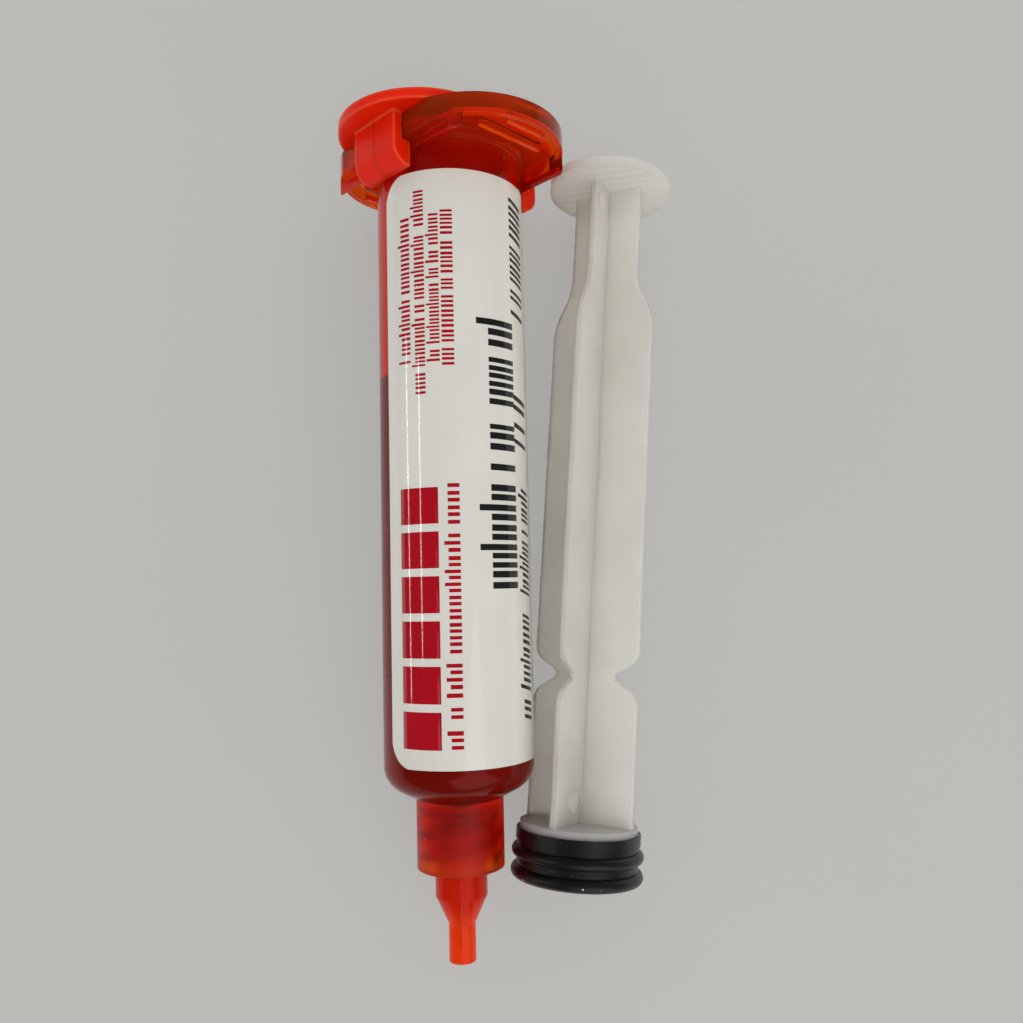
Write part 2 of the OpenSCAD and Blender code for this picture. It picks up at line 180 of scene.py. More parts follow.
def swept_ridge(name: str, sections: np.ndarray) -> bpy.types.Object:
    """Closed ridge through a row of closed sections, with a flat face on the first and the last.

    The surface is the grid of the sections' points: one parameter runs along the path, the other round a
    section.

    Args:
        name: Name of the piece.
        sections: World points in metres, of shape (sections, points, 3).

    Returns:
        The linked object.
    """
    rows, columns = sections.shape[:2]
    ends = np.array([np.arange(columns)[::-1], np.arange(columns) + (rows - 1) * columns])
    return solid_from(name, sections.reshape(-1, 3), [quads(rows, columns, closed=True), ends])


# Node trees


class Wiring:
    """A node tree being built, with short calls for the nodes that these materials use."""

    MIX_INPUTS = (0, 6, 7)  # a Mix node's factor and its two colours
    MIX_OUTPUT = 2  # its mixed colour

    def __init__(self, tree: bpy.types.NodeTree) -> None:
        """Starts on an emptied tree.

        Args:
            tree: The node tree of a material, the world or a group.
        """
        self.tree = tree
        tree.nodes.clear()

    def add(self, kind: str, **settings: object) -> bpy.types.Node:
        """Adds a node.

        Args:
            kind: Blender's type name of the node.
            **settings: Properties of the node, or values or sockets of its inputs by name, with spaces as
                underscores.

        Returns:
            The new node.
        """
        node = self.tree.nodes.new(kind)
        for key, value in settings.items():
            if hasattr(node, key):
                setattr(node, key, value)
            else:
                self.feed(node.inputs[key.replace("_", " ")], value)
        return node

    def feed(self, target: Socket, value: object) -> None:
        """Links a socket to an input, or sets the input's own value.

        Args:
            target: The input.
            value: An output socket or a plain value.
        """
        if isinstance(value, bpy.types.NodeSocket):
            self.tree.links.new(value, target)
        else:
            target.default_value = value

    def math(self, operation: str, a: object, b: object = 0.0, clamp: bool = False) -> Socket:
        """One arithmetic step.

        Args:
            operation: Blender's name of the operation.
            a: First value or socket.
            b: Second value or socket.
            clamp: Whether the result is kept from 0 to 1.

        Returns:
            The result's socket.
        """
        node = self.add("ShaderNodeMath", operation=operation, use_clamp=clamp)
        self.feed(node.inputs[0], a)
        self.feed(node.inputs[1], b)
        return node.outputs[0]

    def times(self, a: object, b: object) -> Socket:
        """The product of two values or sockets."""
        return self.math("MULTIPLY", a, b)

    def blend(self, mask: object, a: object, b: object) -> Socket:
        """A colour from a to b as the mask goes from 0 to 1.

        Args:
            mask: Value or socket from 0 to 1.
            a: Colour or socket at 0.
            b: Colour or socket at 1.

        Returns:
            The mixed colour's socket.
        """
        node = self.add("ShaderNodeMix", data_type="RGBA")
        for number, value in zip(self.MIX_INPUTS, (mask, a, b)):
            self.feed(node.inputs[number], value)
        return node.outputs[self.MIX_OUTPUT]

    def span(
        self, value: object, low: float, high: float, to_low: float = 0.0, to_high: float = 1.0
    ) -> Socket:
        """A value carried from one range to another, and kept inside it.

        Args:
            value: Value or socket.
            low: Value that gives to_low.
            high: Value that gives to_high.
            to_low: Start of the new range.
            to_high: End of the new range.

        Returns:
            The result's socket.
        """
        node = self.add("ShaderNodeMapRange", From_Min=low, From_Max=high, To_Min=to_low, To_Max=to_high)
        self.feed(node.inputs["Value"], value)
        return node.outputs[0]


class Group(Enum):
    """Shader node groups that more than one finish uses."""

    EDGES = "rounded_edges"
    MOULDING = "moulding_marks"
    SPECKS = "dust_specks"
    SCRATCHES = "fine_scratches"


class GroupShelf:
    """Builds each shared node group once."""

    VECTORS = ("Vector", "Normal")  # sockets that are vectors; the others are values

    def __init__(self) -> None:
        """Builds the groups."""
        makers = {
            Group.EDGES: self._edges,
            Group.MOULDING: self._moulding,
            Group.SPECKS: self._specks,
            Group.SCRATCHES: self._scratches,
        }
        self.trees: dict[Group, bpy.types.NodeTree] = {}
        for group, make in makers.items():
            self.trees[group] = bpy.data.node_groups.new(group.value, "ShaderNodeTree")
            make(self.trees[group])

    def _open(
        self, tree: bpy.types.NodeTree, inputs: dict[str, float | None], outputs: tuple[str, ...]
    ) -> tuple[Wiring, Outputs, bpy.types.NodeInputs]:
        """Gives a group its named inputs and outputs.

        Args:
            tree: The group.
            inputs: Default value of each input; a vector has None.
            outputs: Names of the outputs.

        Returns:
            The group's wiring, the sockets that hold its inputs, and the sockets that its outputs take.
        """
        for way, names in (("INPUT", inputs), ("OUTPUT", outputs)):
            for name in names:
                kind = "NodeSocketVector" if name in self.VECTORS else "NodeSocketFloat"
                socket = tree.interface.new_socket(name, in_out=way, socket_type=kind)
                if way == "INPUT" and inputs[name] is not None:
                    socket.default_value = inputs[name]
        w = Wiring(tree)
        return w, w.add("NodeGroupInput").outputs, w.add("NodeGroupOutput").inputs

    def _edges(self, tree: bpy.types.NodeTree) -> None:
        """Normal that runs round the sharp edges, and a mask of those edges.

        Args:
            tree: The group.
        """
        w, given, result = self._open(tree, {"Radius": 0.0002, "Gain": 4.0}, ("Mask", "Normal"))
        soft = w.add("ShaderNodeBevel", samples=6, Radius=given["Radius"]).outputs[0]
        along = w.add("ShaderNodeVectorMath", operation="DOT_PRODUCT")
        w.feed(along.inputs[0], soft)
        w.feed(along.inputs[1], w.add("ShaderNodeNewGeometry").outputs["Normal"])
        turned = w.math("SUBTRACT", 1.0, along.outputs["Value"])
        w.feed(result["Mask"], w.math("MULTIPLY", turned, given["Gain"], clamp=True))
        w.feed(result["Normal"], soft)

    def _moulding(self, tree: bpy.types.NodeTree) -> None:
        """Slow waves, fine grain and a tone of moulded plastic.

        Args:
            tree: The group.
        """
        w, given, result = self._open(
            tree,
            {"Vector": None, "Wave Scale": 0.1, "Grain Scale": 6.0, "Grain": 0.2, "Low": 0.1, "High": 0.3},
            ("Roughness", "Height", "Tone"),
        )
        vector = given["Vector"]
        wave = w.add("ShaderNodeTexNoise", Vector=vector, Scale=given["Wave Scale"], Detail=2.0).outputs[0]
        grain = w.add("ShaderNodeTexNoise", Vector=vector, Scale=given["Grain Scale"], Detail=3.0).outputs[0]
        spread = w.math("SUBTRACT", given["High"], given["Low"])
        w.feed(result["Roughness"], w.math("ADD", given["Low"], w.times(wave, spread)))
        w.feed(result["Height"], w.math("ADD", wave, w.times(grain, given["Grain"])))
        w.feed(result["Tone"], wave)

    def _specks(self, tree: bpy.types.NodeTree) -> None:
        """Scattered specks of dust, some larger than others.

        Args:
            tree: The group.
        """
        inputs = {"Vector": None, "Scale": 1.0, "Size": 0.1, "Share": 0.5}
        w, given, result = self._open(tree, inputs, ("Mask",))
        cells = w.add("ShaderNodeTexVoronoi", Vector=given["Vector"], Scale=given["Scale"]).outputs
        chosen = w.add("ShaderNodeSeparateColor", Color=cells["Color"]).outputs
        inside = w.math("LESS_THAN", cells["Distance"], w.times(given["Size"], chosen[1]))
        w.feed(result["Mask"], w.times(inside, w.math("LESS_THAN", chosen[0], given["Share"])))

    def _scratches(self, tree: bpy.types.NodeTree) -> None:
        """Short thin scratches that run with the last axis of the vector.

        They are the crests of a noise drawn out along that axis, in the patches where a slow noise is high.

        Args:
            tree: The group.
        """
        drawn_out, crests, patches = (1.0, 1.0, 0.06), (0.64, 0.7), (0.45, 0.65)
        w, given, result = self._open(tree, {"Vector": None, "Scale": 1.0, "Amount": 0.5}, ("Mask",))
        pulled = w.add("ShaderNodeMapping", Vector=given["Vector"], Scale=drawn_out).outputs[0]
        lines = w.add("ShaderNodeTexNoise", Vector=pulled, Scale=given["Scale"], Detail=4.0)
        slow = w.add("ShaderNodeTexNoise", Vector=given["Vector"], Scale=0.15, Detail=1.0)
        there = w.times(w.span(lines.outputs[0], *crests), w.span(slow.outputs[0], *patches))
        w.feed(result["Mask"], w.times(there, given["Amount"]))


class Bench(Wiring):
    """The node tree of one material, with the place on the piece and the shared groups at hand."""

    def __init__(self, name: str, shelf: GroupShelf, line: LyingLine) -> None:
        """Starts a material. Its place is in the piece's own lying frame, in millimetres.

        Args:
            name: Name of the material.
            shelf: The shared node groups.
            line: The axis that the piece lies along.
        """
        self.material = bpy.data.materials.new(name)
        self.material.use_nodes = True
        super().__init__(self.material.node_tree)
        self.shelf = shelf
        where = self.add("ShaderNodeTexCoord").outputs["Object"]
        turned = self.add("ShaderNodeMapping", vector_type="TEXTURE", Vector=where)
        turned.inputs["Location"].default_value = line.origin * MM
        turned.inputs["Rotation"].default_value = line.euler()
        turned.inputs["Scale"].default_value = (MM, MM, MM)
        self.place = turned.outputs[0]

    def lay(self, group: Group, **values: object) -> Outputs:
        """Lays a shared group over the material, at the place on the piece.

        Args:
            group: Which group.
            **values: Input values or sockets by name, with spaces as underscores.

        Returns:
            The group's outputs.
        """
        node = self.tree.nodes.new("ShaderNodeGroup")
        node.node_tree = self.shelf.trees[group]
        if "Vector" in node.inputs:
            self.feed(node.inputs["Vector"], self.place)
        for key, value in values.items():
            self.feed(node.inputs[key.replace("_", " ")], value)
        return node.outputs

    def surface(self, **inputs: object) -> bpy.types.Node:
        """Adds the material's shader and its output.

        Args:
            **inputs: Values or sockets of the shader's inputs by name, with spaces as underscores.

        Returns:
            The output node.
        """
        shader = self.add("ShaderNodeBsdfPrincipled", **inputs)
        return self.add("ShaderNodeOutputMaterial", Surface=shader.outputs[0])


# Finishes

PATCHES = (0.3, 0.7)  # moulding tones between which a surface goes from one colour to the other
WORN_PATCHES = (0.35, 0.65)  # the same on rubber, with a sharper change
THIN_PATCHES = (0.5, 0.95)  # moulding heights between which ink goes from thick to thin
SHADE = 0.86  # brightness of a plastic's darker patches
PAINTED_GLOW_BLEND = 1.5  # millimetres on each side of a place over which a plastic's painted glow fades in
HAZE_BLEND = 0.3  # the same for its haze
DUST: Colour = (0.75, 0.73, 0.7, 1.0)
SCRATCH_ROUGHNESS = 0.3  # roughness that a scratch adds to a plastic
GLOSS_COAT = {"Coat_Weight": 1.0, "Coat_Roughness": 0.06}  # over the label and its print


def scaled(colour: Colour, gain: float, lift: float = 0.0) -> Colour:
    """The colour times gain plus lift in red, green and blue, each 1 at most."""
    return tuple(min(1.0, c * gain + lift) for c in colour[:3]) + (1.0,)


@dataclass(frozen=True)
class Finish(ABC):
    """How a material is made.

    Attributes:
        name: Name of the material.
    """

    name: str

    def material(self, shelf: GroupShelf, line: LyingLine) -> bpy.types.Material:
        """Builds the material.

        Args:
            shelf: The shared node groups.
            line: The axis that the piece lies along.

        Returns:
            The material.
        """
        bench = Bench(self.name, shelf, line)
        self._wire(bench)
        return bench.material

    @abstractmethod
    def _wire(self, w: Bench) -> None:
        """Wires the material on its bench."""


@dataclass(frozen=True)
class Plastic(Finish):
    """A moulded plastic, from opaque to clear.

    Attributes:
        body: Colour of the plastic.
        clear: Share of light that goes through, from 0 to 1.
        roughness: Lowest and highest roughness.
        index: Index of refraction.
        tint: Colour that the depth of the plastic takes; None where it is opaque.
        depth: Strength of that tint per metre.
        glow: Share of light that scatters under the surface.
        scatter: How far red, green and blue light scatter there, as shares of its scale.
        painted_glow: Colour of the glow painted towards the plastic's ends, where light would shine through;
            None where it is the same all along.
        painted_glow_below: Distance along the axis below which the painted glow shows, in millimetres.
        painted_glow_above: Distance along the axis above which the painted glow shows, in millimetres.
        haze: Roughness that is added towards its lower end.
        haze_below: Distance along the axis below which it is hazy, in millimetres.
        edge_highlight: Colour of the highlight painted along the edges.
        edge_highlight_share: How much of that painted highlight shows there.
        edge_radius: Radius of the edges in metres.
        dust: Share of the dust cells that hold a speck.
    """

    body: Colour
    clear: float
    roughness: tuple[float, float]
    index: float
    tint: Colour | None = None
    depth: float = 0.0
    glow: float = 0.0
    scatter: tuple[float, float, float] = (1.0, 0.25, 0.12)
    painted_glow: Colour | None = None
    painted_glow_below: float = -1000.0
    painted_glow_above: float = 1000.0
    haze: float = 0.0
    haze_below: float = -1000.0
    edge_highlight: Colour = (1.0, 1.0, 1.0, 1.0)
    edge_highlight_share: float = 0.0
    edge_radius: float = 0.0003
    dust: float = 0.0

    def _wire(self, w: Bench) -> None:
        """Wires the plastic: patches, painted glow towards the ends, painted paler lines, painted highlights
        along the edges and dust, each over the one before.

        Args:
            w: The material's bench.
        """
        edges = w.lay(Group.EDGES, Radius=self.edge_radius, Gain=6.0)
        marks = w.lay(Group.MOULDING, Low=self.roughness[0], High=self.roughness[1])
        scratches = w.lay(Group.SCRATCHES, Scale=2.2, Amount=0.35)
        specks = w.lay(Group.SPECKS, Scale=0.7, Size=0.12, Share=self.dust)
        along = w.add("ShaderNodeSeparateXYZ", Vector=w.place).outputs["Z"]
        colour = w.blend(w.span(marks["Tone"], *PATCHES), scaled(self.body, SHADE), self.body)
        # Painted glow: a brighter colour towards the ends, where light would shine through the plastic.
        if self.painted_glow is not None:
            low = w.span(along, self.painted_glow_below - PAINTED_GLOW_BLEND, self.painted_glow_below + PAINTED_GLOW_BLEND, 1.0, 0.0)
            high = w.span(along, self.painted_glow_above - PAINTED_GLOW_BLEND, self.painted_glow_above + PAINTED_GLOW_BLEND)
            colour = w.blend(w.math("MAXIMUM", low, high), colour, self.painted_glow)
        # Painted light: paler lines where light would show through the thumb rest's ribs.
        pale = self._painted_rib_light(w)
        if pale is not None:
            colour = w.blend(pale, colour, self.edge_highlight)
        # Painted highlight: a paler colour along the edges, where light would catch their rounding.
        colour = w.blend(w.times(edges["Mask"], self.edge_highlight_share), colour, self.edge_highlight)
        colour = w.blend(specks["Mask"], colour, DUST)
        rough = w.math("ADD", marks["Roughness"], w.times(scratches["Mask"], SCRATCH_ROUGHNESS))
        haze = w.span(along, self.haze_below - HAZE_BLEND, self.haze_below + HAZE_BLEND, self.haze, 0.0)
        bump = w.add(
            "ShaderNodeBump", Strength=0.5, Distance=0.00002, Height=marks["Height"], Normal=edges["Normal"]
        )
        out = w.surface(
            Base_Color=colour, Roughness=w.math("ADD", rough, haze), Normal=bump.outputs[0], IOR=self.index,
            Transmission_Weight=self.clear, Subsurface_Weight=self.glow, Subsurface_Radius=self.scatter,
            Subsurface_Scale=0.0012,
        )
        if self.tint is not None:
            depth = w.add("ShaderNodeVolumeAbsorption", Color=self.tint, Density=self.depth)
            w.feed(out.inputs["Volume"], depth.outputs[0])

    def _painted_rib_light(self, w: Bench) -> Socket | None:
        """Share of the painted highlight colour by place: none here."""
        return None


@dataclass(frozen=True)
class MilkyPlastic(Plastic):
    """A milky plastic, with paler lines painted over the thumb rest, where light would show through the ribs
    on its far face.

    Attributes:
        rib_turn: Turn of the ribs round the plunger's axis, as it lies, in degrees.
        rib_pitch: Distance between the ribs.
        rib_side: Where a line's side starts and ends, in millimetres from its middle.
        field_r: Radius inside which the ribs lie.
        rest_foot: Distance along the axis to the thumb rest's near face.
        rib_light_share: How much of the painted highlight colour the painted lines have.
    """

    rib_turn: float = 19.0
    rib_pitch: float = 1.6
    rib_side: tuple[float, float] = (0.15, 0.35)
    field_r: float = 7.3
    rest_foot: float = 89.8
    rib_light_share: float = 0.8

    def _painted_rib_light(self, w: Bench) -> Socket:
        """Share of the painted highlight colour by place: paler lines painted over the thumb rest, where
        light would show through its ribs.

        The distance to the nearest rib is |mod(across + pitch / 2, pitch) - pitch / 2|, where across is
        measured square to the ribs.

        Args:
            w: The material's bench.

        Returns:
            The share's socket.
        """
        parts = w.add("ShaderNodeSeparateXYZ", Vector=w.place).outputs
        turn = math.radians(self.rib_turn)
        across = w.math("ADD", w.times(parts["X"], math.sin(turn)), w.times(parts["Y"], math.cos(turn)))
        wrapped = w.math("FLOORED_MODULO", w.math("ADD", across, self.rib_pitch / 2), self.rib_pitch)
        away = w.math("ABSOLUTE", w.math("SUBTRACT", wrapped, self.rib_pitch / 2))
        lines = w.span(away, *self.rib_side, self.rib_light_share, 0.0)
        square = w.math("ADD", w.times(parts["X"], parts["X"]), w.times(parts["Y"], parts["Y"]))
        inside = w.math("LESS_THAN", w.math("SQRT", square), self.field_r)
        return w.times(lines, w.times(inside, w.math("GREATER_THAN", parts["Z"], self.rest_foot)))


@dataclass(frozen=True)
class LabelFilm(Finish):
    """The label's satin film.

    Attributes:
        paper: Colour of the film.
        shade: Colour of its faint cloudy patches.
        rim: Colour of its cut edges.
        dirt: Colour of its specks.
        scuff: Colour of its scratches.
        roughness: Lowest and highest roughness.
    """

    name: str = "label_film"
    paper: Colour = (0.72, 0.705, 0.635, 1.0)
    shade: Colour = (0.68, 0.665, 0.605, 1.0)
    rim: Colour = (0.62, 0.6, 0.58, 1.0)
    dirt: Colour = (0.35, 0.32, 0.3, 1.0)
    scuff: Colour = (0.5, 0.48, 0.46, 1.0)
    roughness: tuple[float, float] = (0.28, 0.42)

    def _wire(self, w: Bench) -> None:
        """Wires the film, with its wear, under a glossy coat.

        Args:
            w: The material's bench.
        """
        low, high = self.roughness
        marks = w.lay(Group.MOULDING, Low=low, High=high, Grain=0.6, Grain_Scale=3.0)
        scratches = w.lay(Group.SCRATCHES, Scale=1.6, Amount=0.5)
        specks = w.lay(Group.SPECKS, Scale=0.35, Size=0.09, Share=0.25)
        edges = w.lay(Group.EDGES, Radius=0.00012, Gain=5.0)
        colour = w.blend(w.span(marks["Tone"], *PATCHES), self.shade, self.paper)
        # Each kind of wear with the share of its colour that it shows
        wear = ((edges, 0.5, self.rim), (specks, 0.6, self.dirt), (scratches, 0.18, self.scuff))
        for mark, share, tone in wear:
            colour = w.blend(w.times(mark["Mask"], share), colour, tone)
        bump = w.add("ShaderNodeBump", Strength=0.35, Distance=0.00002, Height=marks["Height"])
        w.surface(
            Base_Color=colour, Roughness=marks["Roughness"], Normal=bump.outputs[0], IOR=1.5, **GLOSS_COAT
        )


@dataclass(frozen=True)
class InkFilm(Finish):
    """A printing ink under the label's glossy coat, which thins a little in places.

    Attributes:
        colour: Colour of the ink.
    """

    colour: Colour

    def _wire(self, w: Bench) -> None:
        """Wires the ink.

        Args:
            w: The material's bench.
        """
        marks = w.lay(Group.MOULDING, Low=0.3, High=0.45, Grain=0.5, Grain_Scale=8.0)
        thin = scaled(self.colour, gain=1.2, lift=0.001)
        colour = w.blend(w.span(marks["Height"], *THIN_PATCHES), self.colour, thin)
        w.surface(Base_Color=colour, Roughness=marks["Roughness"], IOR=1.05, **GLOSS_COAT)


class Ink(Enum):
    """The label's printing inks."""

    CRIMSON = InkFilm("crimson_ink", (0.35, 0.0005, 0.008, 1.0))
    BLACK = InkFilm("black_ink", (0.009, 0.009, 0.0095, 1.0))


@dataclass(frozen=True)
class FluxPaste(Finish):
    """The flux: a wet brown paste that clings to the wall.

    Attributes:
        dark: Colour of its thick places.
        light: Colour of its thin places.
    """

    name: str = "flux_paste"
    dark: Colour = (0.05, 0.014, 0.006, 1.0)
    light: Colour = (0.12, 0.04, 0.018, 1.0)

    def _wire(self, w: Bench) -> None:
        """Wires the paste.

        Args:
            w: The material's bench.
        """
        marks = w.lay(Group.MOULDING, Low=0.15, High=0.4, Grain=0.4, Grain_Scale=1.5)
        colour = w.blend(w.span(marks["Tone"], *PATCHES), self.dark, self.light)
        bump = w.add("ShaderNodeBump", Strength=0.6, Distance=0.0001, Height=marks["Height"])
        w.surface(
            Base_Color=colour, Roughness=marks["Roughness"], Normal=bump.outputs[0], IOR=1.5,
            Subsurface_Weight=0.3, Subsurface_Radius=(1.0, 0.3, 0.1), Subsurface_Scale=0.001,
        )


@dataclass(frozen=True)
class Rubber(Finish):
    """The stopper's black rubber, with specks of dust on it.

    Attributes:
        body: Colour of the rubber.
        worn: Colour where it is rubbed.
        dust: Colour of the dust.
        dust_share: How much of the dust's colour a speck has.
        fine_share: How much of that a fine speck has.
    """

    name: str = "black_rubber"
    body: Colour = (0.0008, 0.001, 0.0009, 1.0)
    worn: Colour = (0.005, 0.006, 0.0055, 1.0)
    dust: Colour = (0.55, 0.55, 0.52, 1.0)
    dust_share: float = 0.75
    fine_share: float = 0.6

    def _wire(self, w: Bench) -> None:
        """Wires the rubber.

        Args:
            w: The material's bench.
        """
        marks = w.lay(Group.MOULDING, Low=0.3, High=0.44, Grain=0.5, Grain_Scale=9.0)
        specks = w.lay(Group.SPECKS, Scale=0.9, Size=0.16, Share=0.3)
        fine = w.lay(Group.SPECKS, Scale=2.6, Size=0.14, Share=0.2)
        dust = w.math("MAXIMUM", specks["Mask"], w.times(fine["Mask"], self.fine_share))
        colour = w.blend(w.span(marks["Tone"], *WORN_PATCHES), self.body, self.worn)
        colour = w.blend(w.times(dust, self.dust_share), colour, self.dust)
        bump = w.add("ShaderNodeBump", Strength=0.4, Distance=0.00003, Height=marks["Height"])
        w.surface(Base_Color=colour, Roughness=marks["Roughness"], Normal=bump.outputs[0], IOR=1.5)


# Each plastic's colour along its edges is a painted highlight.
# Each plastic's colour towards its ends is painted glow.
AMBER = Plastic(
    "amber_plastic", (0.96, 0.026, 0.001, 1.0), 0.9, (0.1, 0.18), 1.27, (0.994, 0.86, 0.5, 1.0), 1300.0,
    painted_glow=(1.0, 0.17, 0.008, 1.0), painted_glow_below=1.5, painted_glow_above=88.0, haze=0.2, haze_below=8.5,
    edge_highlight=(0.98, 0.3, 0.1, 1.0), edge_highlight_share=0.3, dust=0.12,
)
ORANGE = Plastic(
    "orange_plastic", (0.8, 0.014, 0.0005, 1.0), 0.0, (0.25, 0.38), 1.26, glow=0.35,
    edge_highlight=(0.99, 0.15, 0.04, 1.0), edge_highlight_share=0.6, edge_radius=0.0006, dust=0.05,
)
CLEAR_ORANGE = Plastic(
    "orange_clear_plastic", (0.7, 0.016, 0.0005, 1.0), 0.35, (0.1, 0.18), 1.27, (0.99, 0.7, 0.5, 1.0), 900.0,
    glow=0.4, painted_glow=(1.0, 0.06, 0.004, 1.0), painted_glow_below=-5.5,
    edge_highlight=(0.99, 0.2, 0.05, 1.0), edge_highlight_share=0.5, edge_radius=0.0002, dust=0.03,
)
NATURAL = MilkyPlastic(
    "natural_plastic", (0.99, 0.95, 0.865, 1.0), 0.5, (0.3, 0.4), 1.34, glow=0.9, scatter=(2.4, 2.3, 2.1),
    edge_highlight=(1.0, 1.0, 0.97, 1.0), edge_highlight_share=0.7, dust=0.04,
)


# Pieces


@dataclass(frozen=True)
class LuerThread:
    """The two-start thread inside the Luer collar, which the solids leave out.

    Attributes:
        root_r: Radius of the collar's bore, where the ridges stand.
        crest_r: Radius of the ridges' crests.
        lead: Advance of a ridge in one turn.
        start: Distance from the collar's end to the start of a ridge.
        length: Distance along the axis that a ridge covers.
        foot: Width of a ridge at its foot.
        crest: Width of a ridge at its crest.
        phase: Angle at which the first ridge starts.
        run_in: Share of a ridge's length over which it rises from the wall at each end.
        least: Height of its very ends, as a share of the full height.
        steps: Sections along a ridge.
    """

    root_r: float = 4.08
    crest_r: float = 3.85
    lead: float = 5.0
    start: float = 0.5
    length: float = 5.2
    foot: float = 0.85
    crest: float = 0.3
    phase: float = math.radians(25.0)
    run_in: float = 0.08
    least: float = 0.03
    steps: int = 90

    def build(self, line: LyingLine) -> list[bpy.types.Object]:
        """Builds the two ridges.

        Each section is a trapezoid on the wall of the bore. It turns with the distance along the axis and
        sinks into the wall at both ends: angle = phase - 2 * pi * distance / lead.

        Args:
            line: The barrel's axis.

        Returns:
            The two ridges.
        """
        share = np.linspace(0.0, 1.0, self.steps)[:, None]
        height = np.clip(np.minimum(share, 1.0 - share) / self.run_in, self.least, 1.0)
        radius = self.root_r - np.array([0.0, 0.0, 1.0, 1.0]) * (self.root_r - self.crest_r) * height
        half = np.array([-self.foot, self.foot, self.crest, -self.crest]) / 2
        distance = self.start + self.foot / 2 + share * self.length
        ridges = []
        for number in range(2):
            angle = self.phase + math.pi * number - 2 * math.pi * share * self.length / self.lead
            sections = line.points(radius, angle, distance + half)
            ridges.append(swept_ridge(f"luer_thread_{number + 1}", sections))
        return ridges


@dataclass(frozen=True)
class PrintRow:
    """A row of plain printed bars along the label, grouped like words.

    Attributes:
        ink: The ink.
        foot: Angle of the bars' feet, in degrees.
        head: Angle of the tallest bars' heads, in degrees.
        start: Distance along the barrel where the row starts.
        end: Distance along the barrel where it ends.
        groups: Number of signs in each word.
        stroke: Width of a bar as a share of a sign's pitch.
        low: Height of a low bar as a share of a tall one; 1 makes all bars tall.
        slant: Lean of the bars along the row, in millimetres.
        lone: Share of the signs that are one bar, and not two.
        vary: How much a sign's width varies, as a share of it.
        seed: Seed of the signs' widths and heights.
        gap: Width of the space between two words, in signs.
        tall: Share of the signs whose first bar is tall.
        second: Where a sign's second bar starts, as a share of its pitch.
    """

    ink: Ink
    foot: float
    head: float
    start: float
    end: float
    groups: tuple[int, ...]
    stroke: float = 0.27
    low: float = 0.74
    slant: float = 0.0
    lone: float = 0.15
    vary: float = 0.15
    seed: int = 1
    gap: float = 0.5
    tall: float = 0.3
    second: float = 0.53

    def blocks(self) -> np.ndarray:
        """Sizes of the bars: each sign of a word is a pair of bars, or now and then one, of two heights.

        Returns:
            Start, end, foot angle, head angle and lean of each bar, one row each.
        """
        rng = np.random.default_rng(self.seed)
        signs = np.concatenate([np.append(np.ones(size), 0.0) for size in self.groups])[:-1]
        inked = signs > 0
        widths = np.where(inked, rng.uniform(1 - self.vary, 1 + self.vary, signs.size), self.gap)
        places = np.concatenate([[0.0], np.cumsum(widths)]) / widths.sum()
        edges = self.start + (self.end - self.start) * places
        first, pitch = edges[:-1][inked], np.diff(edges)[inked]
        tall = rng.uniform(size=first.size) < self.tall
        pair = rng.uniform(size=first.size) >= self.lone
        starts = np.concatenate([first, (first + self.second * pitch)[pair]])
        wide = self.stroke * np.concatenate([pitch, pitch[pair]])
        high = np.concatenate([np.where(tall, 1.0, self.low), np.full(pair.sum(), self.low)])
        head = self.foot + (self.head - self.foot) * high
        foot = np.full(starts.shape, self.foot)
        return np.stack([starts, starts + wide, foot, head, self.slant * high], axis=1)


